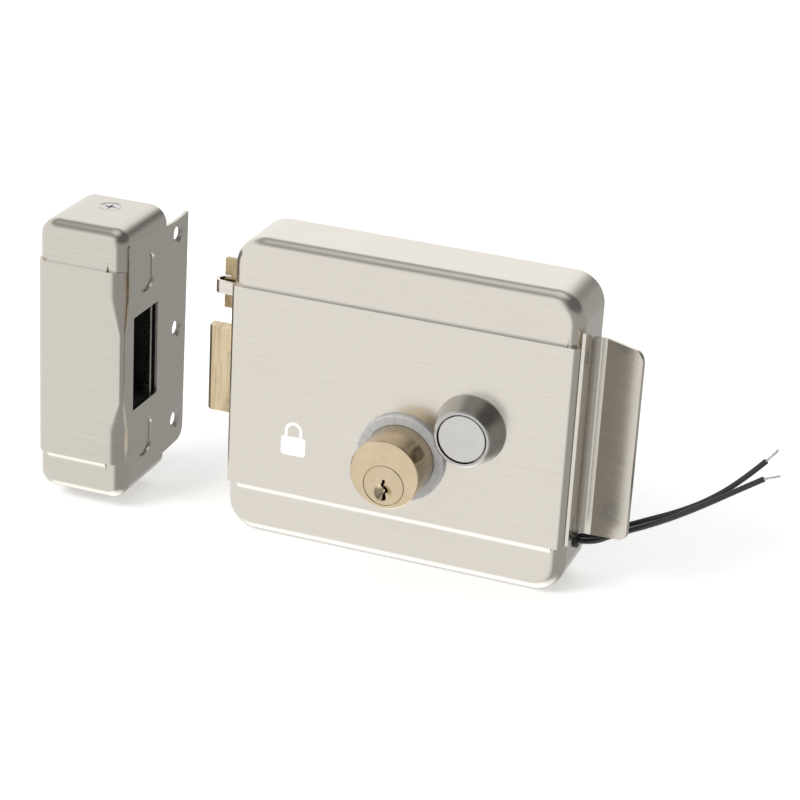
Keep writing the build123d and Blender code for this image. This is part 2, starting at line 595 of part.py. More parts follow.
with BuildPart() as lever:
    with BuildSketch(Plane.XZ.offset(LEVER_NEAR)):
        with Locations((LEVER_X, LEVER_Z)):
            Circle(4.0)
        with BuildLine():
            Polyline((LEVER_X - 2.6, LEVER_Z), (groove_x - 1.4, COIL_Z - 1.0),
                     (groove_x + 1.4, COIL_Z - 0.5), (LEVER_X + 2.6, LEVER_Z),
                     (LEVER_X - 2.6, LEVER_Z))
        make_face()
        with BuildLine():
            Polyline((LEVER_X - 2.0, LEVER_Z - 2.0), (LEVER_X + 2.8, LEVER_Z + 1.0),
                     (BUTTON_X - 1.8, BUTTON_Z + 1.5), (BUTTON_X - 5.0, BUTTON_Z - 0.2),
                     (LEVER_X - 2.0, LEVER_Z - 2.0))
        make_face()
        with Locations((groove_x, COIL_Z - 0.6)):
            Circle(1.9)
        with Locations((LEVER_X, LEVER_Z)):
            Circle(2.05, mode=Mode.SUBTRACT)
    extrude(amount=LEVER_FAR - LEVER_NEAR)
write(lever, "release_lever")

with BuildPart() as lever_pivot:
    disc(LEVER_X, LEVER_Z, 3.0, PLATE_T, LEVER_NEAR - GAP)
    disc(LEVER_X, LEVER_Z, 2.0, LEVER_NEAR - GAP, LEVER_FAR + GAP)
    disc(LEVER_X, LEVER_Z, 3.4, LEVER_FAR + GAP, LEVER_FAR + GAP + 0.9)
write(lever_pivot, "lever_pivot")


# ---------------------------------------------------------------- terminals and lead
with BuildPart() as terminal_block:
    block(30.0, 46.0, PLATE_T, 13.0, EXIT_Z - 6, EXIT_Z + 6)
    for height in (EXIT_Z - 3, EXIT_Z + 3):
        disc(38.0, height, 1.8, 8.0, 14.0, Mode.SUBTRACT)
        bar(40.5, 47.0, EXIT_DEPTH, height, 1.25, Mode.SUBTRACT)
    chamfer(terminal_block.edges().filter_by(Axis.Z).group_by(Axis.Y)[0], 0.8)
write(terminal_block, "terminal_block")

with BuildPart() as terminal_screws:
    for height in (EXIT_Z - 3, EXIT_Z + 3):
        disc(38.0, height, 1.7, 8.2, 12.4)
        block(36.0, 40.0, 11.8, 13.0, height - 0.3, height + 0.3, Mode.SUBTRACT)
write(terminal_screws, "terminal_screws")

wire_starts = ((-8.7, EXIT_Z + 0.5), (-11.1, EXIT_Z - 0.5))
with BuildPart() as wire_grommet:
    bar(CASE_SIDE - 2.4, CASE_SIDE - SHEET - 0.05, EXIT_DEPTH, EXIT_Z, GROMMET_R + 0.9)
    bar(CASE_SIDE - 1.4, CASE_SIDE + 0.2, EXIT_DEPTH, EXIT_Z, GROMMET_R - 0.1)
    bar(CASE_SIDE + 0.05, CASE_SIDE + 0.9, EXIT_DEPTH, EXIT_Z, GROMMET_R + 0.5)
    for y, z in wire_starts:
        bar(CASE_SIDE - 3, CASE_SIDE + 2, -y, z, WIRE_R + 0.02, Mode.SUBTRACT)
write(wire_grommet, "wire_grommet")

with BuildPart() as inner_leads:
    for (y, z), way in zip(wire_starts, (1, -1)):
        seat_z = EXIT_Z + way * 3
        with BuildLine() as lead:
            FilletPolyline((42.0, -EXIT_DEPTH, seat_z), (49.5, -EXIT_DEPTH, seat_z), (54.0, y, z),
                           (CASE_SIDE - 2.1, y, z), radius=3.0)
        with BuildSketch(Plane(origin=(42.0, -EXIT_DEPTH, seat_z), z_dir=(1, 0, 0))):
            Circle(WIRE_R)
        sweep(path=lead.line)
write(inner_leads, "inner_leads")

wire_routes = {
    "wire_rear": [(CASE_SIDE - 2.0, -8.7, EXIT_Z + 0.5), (68.5, -8.7, EXIT_Z + 0.5), (76.5, -8.7, -32.9),
                  (86.0, -8.7, -27.9), (96.5, -8.6, -22.6), (107.0, -8.6, -15.9), (117.4, -8.7, -6.6),
                  (125.4, -8.8, 3.0)],
    "wire_front": [(CASE_SIDE - 2.0, -11.1, EXIT_Z - 0.5), (68.5, -11.1, EXIT_Z - 0.5), (77.0, -11.1, -34.0),
                   (87.0, -11.1, -28.9), (97.0, -11.2, -23.0), (107.5, -11.2, -15.8), (117.0, -11.2, -8.8),
                   (125.8, -11.2, -2.5)],
}
core_ends = {"wire_rear": (129.2, -8.8, 8.0), "wire_front": (131.4, -11.2, -0.2)}


def corner_radii(points):
    """Arc radii for a route: 0.45 of the shorter run over the tangent of half the turn."""
    radii = []
    for before, here, after in zip(points, points[1:], points[2:]):
        run_in = Vector(here) - Vector(before)
        run_out = Vector(after) - Vector(here)
        half_turn = math.radians(run_in.get_angle(run_out)) / 2
        radii.append(0.45 * min(run_in.length, run_out.length) / math.tan(half_turn))
    return radii


for wire_name, points in wire_routes.items():
    radii = corner_radii(points)
    with BuildPart() as wire:
        with BuildLine() as route:
            FilletPolyline(*points, radius=radii)
        with BuildSketch(Plane(origin=points[0], z_dir=Vector(points[1]) - Vector(points[0]))):
            Circle(WIRE_R)
        sweep()
    expected = math.pi * WIRE_R**2 * route.wires()[0].length
    print(wire_name, "radii", [round(r, 1) for r in radii], "length", round(route.wires()[0].length, 2),
          "volume", round(wire.part.volume, 2), "expected", round(expected, 2))
    write(wire, wire_name)

with BuildPart() as wire_cores:
    for wire_name, points in wire_routes.items():
        end = Vector(core_ends[wire_name])
        start = Vector(points[-1]) + (end - Vector(points[-1])).normalized() * 0.3
        with BuildSketch(Plane(origin=start, z_dir=end - start)):
            Circle(CORE_R)
        extrude(amount=(end - start).length)
write(wire_cores, "wire_cores")


# ---------------------------------------------------------------- strike box
def strike_panel(left_edge, levels, inset):
    """The raised panel: the box's front corner is wide at its ends and tight beside the slot."""
    with BuildPart() as slab:
        for height, radius in levels:
            with BuildSketch(Plane.XY.offset(height)):
                with BuildLine():
                    right = STRIKE_RIGHT - inset
                    front = -STRIKE_PANEL + inset
                    left = left_edge + inset
                    rounding = STRIKE_ROUND - inset
                    Line((left, -18.0), (left, front + rounding))
                    RadiusArc((left, front + rounding), (left + rounding, front), -rounding)
                    Line((left + rounding, front), (right - radius, front))
                    RadiusArc((right - radius, front), (right, front + radius), -radius)
                    Line((right, front + radius), (right, -18.0))
                    Line((right, -18.0), (left, -18.0))
                make_face()
        loft(ruled=True)
    return slab.part


def strike_block(inset, levels):
    with BuildPart() as housing:
        with BuildSketch(Plane.XZ):
            with Locations((STRIKE_X, 0)):
                RectangleRounded(STRIKE_W - 2 * inset, STRIKE_H - 2 * inset, STRIKE_CORNER - inset)
        extrude(amount=STRIKE_BAND - inset)
        fillet(housing.edges().group_by(Axis.Y)[0], STRIKE_EDGE - inset)
    panel = strike_panel(STRIKE_LEFT, levels, inset)
    with BuildPart() as joined:
        add(housing.part)
        add(panel)
    return joined.part


outer_levels = ((STRIKE_BOTTOM, WIDE_EDGE), (-23.0, WIDE_EDGE), (-16.0, 3.6), (-12.5, NARROW_EDGE),
                (14.0, NARROW_EDGE), (22.0, 4.6), (27.5, WIDE_EDGE), (STRIKE_TOP, WIDE_EDGE))
inner_levels = ((STRIKE_BOTTOM + SHEET, WIDE_EDGE - SHEET), (STRIKE_TOP - SHEET, WIDE_EDGE - SHEET))
strike_outer = strike_block(0, outer_levels)
strike_inner = strike_block(SHEET, inner_levels)

with BuildPart() as strike_shell:
    add(strike_outer)
    for level, way in ((STRIKE_TOP, 1), (STRIKE_BOTTOM, -1)):
        with BuildSketch(Plane.YZ.offset(STRIKE_LEFT + 4.5)):
            with BuildLine():
                foot = (-STRIKE_BAND, level + way * COVE)
                ridge = (-STRIKE_PANEL, level)
                TangentArc(foot, ridge, tangent=(0, -way))
                Polyline(ridge, (-STRIKE_BAND + SHEET, level), (-STRIKE_BAND + SHEET, foot[1]), foot)
            make_face()
        extrude(amount=STRIKE_W - 4.5 - WIDE_EDGE - 0.5)
    # mounting flange in one piece with the slotted side wall
    with BuildSketch(Plane.YZ.offset(STRIKE_RIGHT - SHEET)):
        with BuildLine():
            Line((-2.0, FLANGE_HALF), (1.5, FLANGE_HALF - 0.3))
            ThreePointArc((1.5, FLANGE_HALF - 0.3), (11.0, FLANGE_HALF - 0.6), (FLANGE_BACK, FLANGE_HALF))
            Line((FLANGE_BACK, FLANGE_HALF), (FLANGE_BACK - 1.5, -FLANGE_HALF + 5))
            RadiusArc((FLANGE_BACK - 1.5, -FLANGE_HALF + 5), (FLANGE_BACK - 6.5, -FLANGE_HALF), 5.0)
            Line((FLANGE_BACK - 6.5, -FLANGE_HALF), (-2.0, -FLANGE_HALF - 0.5))
            Line((-2.0, -FLANGE_HALF - 0.5), (-2.0, FLANGE_HALF))
        make_face()
    extrude(amount=SHEET)
    add(strike_inner, mode=Mode.SUBTRACT)
    block(STRIKE_RIGHT - 3, STRIKE_RIGHT + 1, SLOT_NEAR, SLOT_FAR, -SLOT_HALF, SLOT_HALF, Mode.SUBTRACT)
    # pressed ovals above and below the slot
    for way in (1, -1):
        with BuildSketch(Plane.YZ.offset(STRIKE_RIGHT - SHEET - 0.8)):
            with Locations((-DIMPLE_DEPTH, way * DIMPLE_Z)):
                RectangleRounded(13.0, 15.0, 5.0)
        extrude(amount=1.0)
        with BuildSketch(Plane.YZ.offset(STRIKE_RIGHT - 0.8)):
            with Locations((-DIMPLE_DEPTH, way * DIMPLE_Z)):
                RectangleRounded(11.4, 13.4, 4.2)
        extrude(amount=1.0, taper=-20, mode=Mode.SUBTRACT)
    with Locations(Plane.YZ.offset(STRIKE_RIGHT)):
        with Locations((FLANGE_HOLE_Y, FLANGE_HOLE_Z)):
            with GridLocations(1, FLANGE_HOLE_PITCH, 1, 3):
                CounterSinkHole(FLANGE_HOLE_R, FLANGE_SINK_R, depth=SHEET + 1, counter_sink_angle=110)
    for way in (1, -1):
        post(TOP_SCREW_X, TOP_SCREW_DEPTH, way * (STRIKE_H / 2 - 2), way * (STRIKE_H / 2 + 1), 1.8,
             Mode.SUBTRACT)
        with Locations((TOP_SCREW_X, -TOP_SCREW_DEPTH, way * (STRIKE_H / 2 - 0.45))):
            Cone(3.3 - 0.9 * way, 3.3 + 0.9 * way, 0.9, mode=Mode.SUBTRACT)
write(strike_shell, "strike_shell")

with BuildPart() as strike_plate:
    low = STRIKE_H / 2 - SHEET - GAP
    with BuildSketch(Plane.XZ):
        with Locations((STRIKE_X, 0)):
            RectangleRounded(STRIKE_W - 2 * SHEET - 2 * GAP, 2 * low, STRIKE_CORNER - SHEET - GAP)
        with Locations((STRIKE_X - 4, 32), (STRIKE_X - 4, -32)):
            Circle(2.4, mode=Mode.SUBTRACT)
    extrude(amount=PLATE_T)
    for way in (1, -1):
        block(TOP_SCREW_X - 5, TOP_SCREW_X + 5, 0, TOP_SCREW_DEPTH + 5, way * low, way * (low - 2))
        post(TOP_SCREW_X, TOP_SCREW_DEPTH, way * (low - 3), way * (low + 1), 1.5, Mode.SUBTRACT)
write(strike_plate, "strike_plate")

with BuildPart() as strike_screws:
    for way in (1, -1):
        with Locations((TOP_SCREW_X, -TOP_SCREW_DEPTH, way * (STRIKE_H / 2 - 0.5))):
            Cone(3.6 if way < 0 else 2.1, 2.1 if way < 0 else 3.6, 0.7)
        post(TOP_SCREW_X, TOP_SCREW_DEPTH, way * (STRIKE_H / 2 - 6), way * (STRIKE_H / 2 - 0.6), 1.45)
        for turn in (0, 90):
            with Locations((TOP_SCREW_X, -TOP_SCREW_DEPTH, way * (STRIKE_H / 2 - 0.3))):
                Box(4.2, 0.8, 0.8, rotation=(0, 0, turn), mode=Mode.SUBTRACT)
write(strike_screws, "strike_screws")

with BuildPart() as strike_keeper:
    wall = STRIKE_RIGHT - SHEET - GAP
    pocket = 20.0
    block(wall - pocket, wall, SLOT_NEAR - 3.5, SLOT_FAR + 2.0, -SLOT_HALF - 2.0, SLOT_HALF + 2.0)
    block(wall - pocket + 1.5, wall + 1, SLOT_NEAR - 2.0, SLOT_FAR + 0.5,
          -SLOT_HALF - 0.5, SLOT_HALF + 0.5, Mode.SUBTRACT)
write(strike_keeper, "strike_keeper")

with BuildPart() as keeper_bar:
    block(wall - 2.2, wall, SLOT_NEAR + 1.6, SLOT_NEAR + 2.8, -SLOT_HALF - 0.3, SLOT_HALF + 0.3)
write(keeper_bar, "keeper_bar")
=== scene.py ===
import math

import bpy
from mathutils import Matrix, Vector


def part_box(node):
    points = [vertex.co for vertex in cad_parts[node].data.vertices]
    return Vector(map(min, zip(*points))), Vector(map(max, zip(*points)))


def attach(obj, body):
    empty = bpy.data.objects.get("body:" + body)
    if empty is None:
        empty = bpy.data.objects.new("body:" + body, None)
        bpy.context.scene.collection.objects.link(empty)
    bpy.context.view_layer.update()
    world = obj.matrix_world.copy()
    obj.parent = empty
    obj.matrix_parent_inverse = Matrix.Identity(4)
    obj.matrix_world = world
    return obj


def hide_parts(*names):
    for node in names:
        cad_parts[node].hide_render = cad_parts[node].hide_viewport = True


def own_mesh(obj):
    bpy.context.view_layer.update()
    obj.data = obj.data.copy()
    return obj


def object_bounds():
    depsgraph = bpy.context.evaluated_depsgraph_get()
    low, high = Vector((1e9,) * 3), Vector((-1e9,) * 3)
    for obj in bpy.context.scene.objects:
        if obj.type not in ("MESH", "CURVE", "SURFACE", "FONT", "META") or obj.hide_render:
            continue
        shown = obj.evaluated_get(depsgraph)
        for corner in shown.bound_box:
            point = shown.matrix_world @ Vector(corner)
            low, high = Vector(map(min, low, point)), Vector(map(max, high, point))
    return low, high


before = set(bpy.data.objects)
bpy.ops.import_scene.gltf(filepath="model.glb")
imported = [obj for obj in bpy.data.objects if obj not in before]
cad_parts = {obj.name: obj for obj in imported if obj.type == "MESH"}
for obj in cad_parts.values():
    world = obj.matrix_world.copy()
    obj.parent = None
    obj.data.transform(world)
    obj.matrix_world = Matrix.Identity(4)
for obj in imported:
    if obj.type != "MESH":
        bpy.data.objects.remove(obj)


def bounds_list():
    low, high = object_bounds()
    return [[float(v) for v in low], [float(v) for v in high]]


size_before = bounds_list()
scene = bpy.context.scene
scene.view_settings.view_transform = "Standard"

# ---------------------------------------------------------------- camera
# fitted to the photo: where the camera stands, and its own three axes
CAMERA_PLACE = (0.26371, -0.78104, 0.35134)
CAMERA_RIGHT = (0.9353, 0.3498, 0.0533)
CAMERA_UP = (-0.1846, 0.3540, 0.9169)
CAMERA_BACK = (0.3019, -0.8674, 0.3957)
LENS_MM = 114.49
SENSOR_MM = 36
NEAREST_SEEN = 0.01

cam_data = bpy.data.cameras.new("view")
cam_data.lens = LENS_MM
cam_data.sensor_width = SENSOR_MM
cam_data.clip_start = NEAREST_SEEN
cam = bpy.data.objects.new("view", cam_data)
cam.rotation_euler = Matrix((CAMERA_RIGHT, CAMERA_UP, CAMERA_BACK)).transposed().to_euler()
cam.location = CAMERA_PLACE
scene.collection.objects.link(cam)
scene.camera = cam


# ---------------------------------------------------------------- material helpers
class Mat:
    """A Principled material with a few shortcuts for procedural nodes."""

    def __init__(self, name, **sockets):
        self.mat = bpy.data.materials.new(name)
        self.mat.use_nodes = True
        self.tree = self.mat.node_tree
        self.bsdf = self.tree.nodes["Principled BSDF"]
        for key, value in sockets.items():
            self.bsdf.inputs[key.replace("_", " ")].default_value = value
        self.coord = self.tree.nodes.new("ShaderNodeTexCoord").outputs["Object"]

    def node(self, kind, **props):
        n = self.tree.nodes.new(kind)
        for key, value in props.items():
            setattr(n, key, value)
        return n

    def link(self, a, b):
        self.tree.links.new(a, b)

    def mapped(self, scale=(1, 1, 1), shift=(0, 0, 0)):
        """The object's own metres, times the scale: how many features a pattern has per metre."""
        n = self.node("ShaderNodeMapping")
        n.inputs["Scale"].default_value = scale
        n.inputs["Location"].default_value = shift
        self.link(self.coord, n.inputs["Vector"])
        return n.outputs["Vector"]

    def noise(self, vector, detail, rough=0.6, distortion=0.0):
        n = self.node("ShaderNodeTexNoise")
        n.inputs["Scale"].default_value = 1.0
        n.inputs["Detail"].default_value = detail
        n.inputs["Roughness"].default_value = rough
        n.inputs["Distortion"].default_value = distortion
        self.link(vector, n.inputs["Vector"])
        return n.outputs["Fac"]

    def rings(self, centre, scale):
        """Slightly uneven rings about a fore-and-aft axis."""
        n = self.node("ShaderNodeTexWave", wave_type="RINGS", rings_direction="Y")
        n.inputs["Scale"].default_value = scale
        n.inputs["Distortion"].default_value = 0.6
        n.inputs["Detail"].default_value = 3
        n.inputs["Detail Scale"].default_value = 2.0
        self.link(self.mapped(shift=(-centre[0], 0, -centre[1])), n.inputs["Vector"])
        return n.outputs["Fac"]

    def bands(self, axis, scale, distortion):
        n = self.node("ShaderNodeTexWave", wave_type="BANDS", bands_direction=axis)
        n.inputs["Scale"].default_value = scale
        n.inputs["Distortion"].default_value = distortion
        self.link(self.coord, n.inputs["Vector"])
        return n.outputs["Fac"]

    def math(self, op, a, b=None):
        n = self.node("ShaderNodeMath", operation=op)
        for i, v in enumerate((a, b)):
            if v is None:
                continue
            if isinstance(v, (int, float)):
                n.inputs[i].default_value = v
            else:
                self.link(v, n.inputs[i])
        return n.outputs[0]

    def ramp(self, fac, stops):
        n = self.node("ShaderNodeValToRGB")
        while len(n.color_ramp.elements) < len(stops):
            n.color_ramp.elements.new(0.5)
        for element, (place, colour) in zip(n.color_ramp.elements, stops):
            element.position = place
            element.color = (*colour, 1)
        self.link(fac, n.inputs["Fac"])
        return n.outputs["Color"]

    def ranged(self, fac, first, last, start=0.3, end=0.7):
        """From first to last, as the pattern goes from start to end."""
        n = self.node("ShaderNodeMapRange")
        for key, value in (("From Min", start), ("From Max", end), ("To Min", first), ("To Max", last)):
            n.inputs[key].default_value = value
        self.link(fac, n.inputs["Value"])
        return n.outputs["Result"]

    def mix(self, fac, a, b):
        n = self.node("ShaderNodeMix", data_type="RGBA")
        # the node's two colours are its inputs 6 and 7
        for socket, v in ((n.inputs[0], fac), (n.inputs[6], a), (n.inputs[7], b)):
            self.link(v, socket)
        return n.outputs[2]

    def blend(self, a, b, share):
        """Two patterns added up, the second one by its share."""
        return self.math("ADD", self.math("MULTIPLY", a, 1.0 - share), self.math("MULTIPLY", b, share))

    def colour(self, socket):
        self.link(socket, self.bsdf.inputs["Base Color"])

    def roughness(self, socket):
        self.link(socket, self.bsdf.inputs["Roughness"])

    def bump(self, height, strength, distance):
        n = self.node("ShaderNodeBump")
        n.inputs["Strength"].default_value = strength
        n.inputs["Distance"].default_value = distance
        self.link(height, n.inputs["Height"])
        self.link(n.outputs["Normal"], self.bsdf.inputs["Normal"])

    def finish(self, tone, dark, light, rough, edges):
        """Colour and roughness that both follow one tone, between its two edges."""
        start, end = edges
        self.colour(self.ramp(tone, [(start, dark), (end, light)]))
        self.roughness(self.ranged(tone, *rough, start, end))


# features per metre, and heights of the relief in metres
BRUSH_ALONG = 22
BRUSH_CLOUDS = 28
TURNED_CLOUDS = 160
WEAR = 90
PAPER = 60
BRUSH_RELIEF = 0.00002
FINE_RELIEF = 0.00003
MILLED_RELIEF = 0.00004
TICK_RELIEF = 0.00010
WINDING_RELIEF = 0.00012
# how far up a face looks where it starts to count as level, and where it fully does
LEVEL_FROM = 0.68
LEVEL_BY = 0.78


def brushed(name, dark, light, rough, lines=3800, strength=0.12):
    """Satin metal brushed level: fine lines round the upright faces, and along the flat ones."""
    m = Mat(name, Metallic=1.0)
    upright = m.noise(m.mapped((BRUSH_ALONG, BRUSH_ALONG, lines)), detail=2.0)
    flat = m.noise(m.mapped((BRUSH_ALONG, lines, BRUSH_ALONG)), detail=2.0)
    facing = m.node("ShaderNodeSeparateXYZ")
    m.link(m.node("ShaderNodeNewGeometry").outputs["Normal"], facing.inputs[0])
    level = m.ranged(m.math("ABSOLUTE", facing.outputs["Z"]), 0.0, 1.0, LEVEL_FROM, LEVEL_BY)
    grain = m.math("ADD", m.math("MULTIPLY", upright, m.math("SUBTRACT", 1.0, level)),
                   m.math("MULTIPLY", flat, level))
    cloud = m.noise(m.mapped((BRUSH_CLOUDS,) * 3), detail=5.0)
    m.finish(m.blend(grain, cloud, share=0.35), dark, light, rough, edges=(0.36, 0.64))
    m.bump(grain, strength, BRUSH_RELIEF)
    return m


def turned(name, centre, dark, light, rough, pitch, strength=0.08):
    """Metal faced on a lathe about a fore-and-aft axis."""
    m = Mat(name, Metallic=1.0)
    ring = m.rings(centre, pitch)
    cloud = m.noise(m.mapped((TURNED_CLOUDS,) * 3), detail=5.0)
    m.finish(m.blend(ring, cloud, share=0.7), dark, light, rough, edges=(0.25, 0.75))
    m.bump(ring, strength, FINE_RELIEF)
    return m


def speckled(name, dark, light, rough, scale, strength=0.2, **sockets):
    """A moulded, plated or coated surface with a fine even grain and soft wear."""
    m = Mat(name, **sockets)
    grain = m.noise(m.mapped((scale,) * 3), detail=3.0)
    wear = m.noise(m.mapped((WEAR,) * 3), detail=6.0)
    tone = m.math("MULTIPLY", m.math("ADD", grain, wear), 0.5)
    m.finish(tone, dark, light, rough, edges=(0.35, 0.65))
    m.bump(grain, strength, FINE_RELIEF)
    return m


def raw_brass():
    """Brass milled along the depth, with brown handling stains."""
    m = Mat("raw_brass", Metallic=1.0)
    mill = m.noise(m.mapped((1500, 40, 60)), detail=3.0)
    stain = m.noise(m.mapped((95, 95, 60)), detail=7.0, rough=0.65, distortion=0.8)
    clean = m.ramp(mill, [(0.35, (0.56, 0.445, 0.28)), (0.65, (0.74, 0.62, 0.43))])
    stained = m.ramp(stain, [(0.30, (0.26, 0.17, 0.085)), (0.50, (0.42, 0.31, 0.18))])
    m.colour(m.mix(m.ranged(stain, 0.8, 0.0, 0.34, 0.47), clean, stained))
    m.roughness(m.ranged(stain, 0.46, 0.26, 0.40, 0.60))
    m.bump(mill, strength=0.25, distance=MILLED_RELIEF)
    return m


def dull_brass():
    """The same metal on the trigger, darker with wear."""
    m = Mat("dull_brass", Metallic=1.0)
    mill = m.noise(m.mapped((900, 60, 60)), detail=3.0)
    stain = m.noise(m.mapped((120, 120, 80)), detail=7.0)
    m.colour(m.ramp(stain, [(0.32, (0.24, 0.17, 0.09)), (0.50, (0.44, 0.34, 0.20)),
                            (0.68, (0.60, 0.48, 0.30))]))
    m.roughness(m.ranged(mill, 0.28, 0.44))
    m.bump(mill, strength=0.3, distance=MILLED_RELIEF)
    return m


def clear_ring(centre, ticks_round=26.0):
    """Clear plastic with fine radial moulding ticks."""
    m = Mat("clear_ring", Metallic=0.0, IOR=1.49, Transmission_Weight=0.45)
    split = m.node("ShaderNodeSeparateXYZ")
    m.link(m.mapped(shift=(-centre[0], 0, -centre[1])), split.inputs[0])
    angle = m.math("ARCTAN2", split.outputs["Z"], split.outputs["X"])
    ticks = m.math("SINE", m.math("MULTIPLY", angle, ticks_round))
    haze = m.noise(m.mapped((350, 350, 350)), detail=3.0)
    m.colour(m.ramp(ticks, [(0.55, (0.86, 0.86, 0.86)), (0.95, (0.79, 0.79, 0.79))]))
    m.roughness(m.ranged(haze, 0.10, 0.26))
    m.bump(ticks, strength=0.25, distance=TICK_RELIEF)
    return m


def coil_copper():
    """Enamelled copper wire wound side by side."""
    m = Mat("coil_copper", Metallic=1.0)
    turns = m.bands("X", scale=1100, distortion=0.1)
    # the colour follows the turns: darker in the groove between two turns, which is painted shade, and
    # lighter along each turn's crown, which is a painted highlight
    m.colour(m.ramp(turns, [(0.2, (0.26, 0.085, 0.035)), (0.8, (0.66, 0.27, 0.12))]))
    m.roughness(m.ranged(turns, 0.42, 0.24, 0.2, 0.8))
    m.bump(turns, strength=0.7, distance=WINDING_RELIEF)
    return m


def centre_of(node):
    """The node's middle as seen from the front: its x and z."""
    low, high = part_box(node)
    return ((low.x + high.x) / 2, (low.z + high.z) / 2)


key_axis = centre_of("cylinder_body")

# ---------------------------------------------------------------- materials
nickel = brushed("satin_nickel", (0.680, 0.642, 0.580), (0.728, 0.690, 0.628), (0.19, 0.25))
strike_nickel = brushed("strike_nickel", (0.595, 0.562, 0.507), (0.645, 0.61, 0.553), (0.17, 0.23))
handle_nickel = brushed("handle_nickel", (0.665, 0.628, 0.565), (0.725, 0.687, 0.622), (0.20, 0.27))
inner_steel = speckled("steel_inner", (0.34, 0.34, 0.34), (0.52, 0.51, 0.49), (0.35, 0.55),
                       scale=500, Metallic=1.0)
screw_steel = speckled("bright_screws", (0.52, 0.51, 0.50), (0.72, 0.71, 0.69), (0.20, 0.34),
                       scale=900, Metallic=1.0)
strip = brushed("bright_strip", (0.62, 0.58, 0.52), (0.82, 0.78, 0.72), (0.16, 0.26),
                lines=1800, strength=0.2)
brass_face = turned("satin_brass", key_axis, (0.56, 0.455, 0.31), (0.72, 0.60, 0.42), (0.17, 0.27),
                    pitch=700, strength=0.12)
plug_brass = turned("plug_brass", centre_of("cylinder_plug"), (0.58, 0.475, 0.325), (0.69, 0.58, 0.41),
                    (0.22, 0.32), pitch=800)
collar_steel = turned("turned_steel", centre_of("button_cap"), (0.42, 0.41, 0.395), (0.60, 0.59, 0.57),
                      (0.11, 0.18), pitch=1500)
cap_steel = speckled("cap_alloy", (0.58, 0.57, 0.55), (0.66, 0.65, 0.63), (0.34, 0.44),
                     scale=1400, strength=0.35, Metallic=0.85)
spring_steel = speckled("spring_steel", (0.30, 0.30, 0.31), (0.48, 0.48, 0.48), (0.25, 0.40),
                        scale=1500, Metallic=1.0)
iron = speckled("solenoid_iron", (0.42, 0.41, 0.37), (0.60, 0.58, 0.50), (0.30, 0.48),
                scale=400, Metallic=1.0)
nylon = speckled("bobbin_nylon", (0.62, 0.60, 0.54), (0.74, 0.72, 0.66), (0.40, 0.55),
                 scale=900, Metallic=0.0)
green = speckled("terminal_green", (0.02, 0.16, 0.07), (0.04, 0.24, 0.10), (0.38, 0.52),
                 scale=900, Metallic=0.0)
rubber = speckled("black_rubber", (0.010, 0.010, 0.010), (0.028, 0.027, 0.026), (0.50, 0.66),
                  scale=1500, Metallic=0.0)
pvc = speckled("wire_pvc", (0.008, 0.008, 0.009), (0.020, 0.020, 0.021), (0.26, 0.38),
               scale=1800, strength=0.12, Metallic=0.0)
tin = speckled("tinned_copper", (0.55, 0.53, 0.50), (0.80, 0.78, 0.75), (0.20, 0.34),
               scale=2600, Metallic=1.0)
keeper_black = speckled("black_keeper", (0.010, 0.010, 0.010), (0.040, 0.038, 0.036), (0.48, 0.62),
                        scale=700, Metallic=0.0)
raw = raw_brass()
dull = dull_brass()
clear = clear_ring(key_axis)
copper = coil_copper()
ink = speckled("print_white", (0.86, 0.86, 0.85), (0.93, 0.93, 0.92), (0.40, 0.52),
               scale=2000, strength=0.1, Metallic=0.0)

finishes = {
    nickel: ["front_cover"],
    strike_nickel: ["strike_shell"],
    handle_nickel: ["pull_handle"],
    inner_steel: ["back_plate", "bolt_carriage", "guide_posts", "spring_stop", "trigger_stop",
                  "trigger_post", "release_lever", "lever_pivot", "cam", "strike_plate", "cylinder_clip",
                  "collar_nut", "bolt_rivets", "trigger_rivet", "driver_pins"],
    screw_steel: ["cover_screws", "handle_screws", "terminal_screws", "strike_screws", "keeper_bar"],
    strip: ["trigger_loop"],
    brass_face: ["cylinder_body"],
    plug_brass: ["cylinder_plug", "key_pins"],
    raw: ["latch_bolt"],
    dull: ["trigger_plate"],
    clear: ["cylinder_ring"],
    collar_steel: ["button_collar"],
    cap_steel: ["button_cap"],
    spring_steel: ["bolt_spring", "trigger_spring", "button_spring", "pin_springs"],
    iron: ["solenoid_yoke", "plunger"],
    nylon: ["coil_bobbin"],
    copper: ["coil_winding"],
    green: ["terminal_block"],
    rubber: ["wire_grommet"],
    pvc: ["inner_leads", "wire_rear", "wire_front"],
    tin: ["wire_cores"],
    keeper_black: ["strike_keeper"],
}


def dress(data, finish):
    data.materials.clear()
    data.materials.append(finish.mat)


for finish, names in finishes.items():
    for name in names:
        dress(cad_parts[name].data, finish)


def add_piece(name, data, finish):
    obj = bpy.data.objects.new(name, data)
    scene.collection.objects.link(obj)
    dress(data, finish)
    return obj


def coil_piece(name, node):
    """The node's own coil, as a separate piece with a mesh of its own, riding on the lock case."""
    coil = add_piece(name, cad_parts[node].data.copy(), spring_steel)
    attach(coil, "lock_case")
    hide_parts(node)
    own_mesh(coil)


coil_piece("bolt_coil", "bolt_spring")
coil_piece("trigger_coil", "trigger_spring")
coil_piece("button_coil", "button_spring")

# ---------------------------------------------------------------- leads
WIRE_R = 0.001
STRAND_R = 0.00014
STRANDS_ROUND = 6
STRAND_POINTS = 14
STRAND_TWIST = 1.15
STRAND_SPLAY = 0.18
STRAND_SHORTFALL = 0.035

